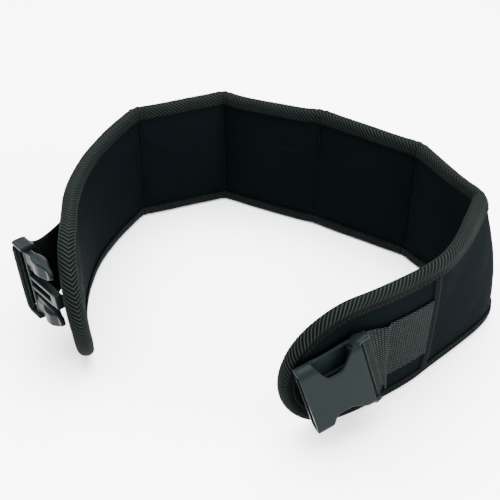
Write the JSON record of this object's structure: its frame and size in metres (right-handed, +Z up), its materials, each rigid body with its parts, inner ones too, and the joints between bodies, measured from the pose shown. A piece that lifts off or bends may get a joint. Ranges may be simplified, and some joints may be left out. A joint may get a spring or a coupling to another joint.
{
  "type": "weight belt",
  "caption": "Padded neoprene weight belt standing open on its lower edge, bound with herringbone tape, with a webbing strap and half of a side-release buckle at each end",
  "frame": {"origin": "on the floor, under the middle of the belt's box", "axes": "+Z up; +X along the belt's longest side, towards its right-hand bend as seen from its open side; +Y towards the middle of its back, with the open side at -Y"},
  "size_m": [0.3442, 0.308, 0.105],
  "materials": {
    "neoprene": "smooth knit-faced neoprene, near-black with a very soft sheen",
    "binding_tape": "ribbed herringbone tape, very dark green-grey",
    "webbing": "basket-weave webbing, black with pale flecks in the weave",
    "buckle_plastic": "satin moulded plastic, dark grey with soft highlights"
  },
  "bodies": {
    "root": {"belt_body": "neoprene", "edge_binding": "binding_tape", "hem_strip_right": "neoprene", "hem_strip_left": "neoprene", "strap_right": "webbing", "strap_left": "webbing", "buckle_socket": "buckle_plastic", "buckle_plug": "buckle_plastic"}
  },
  "joints": []
}
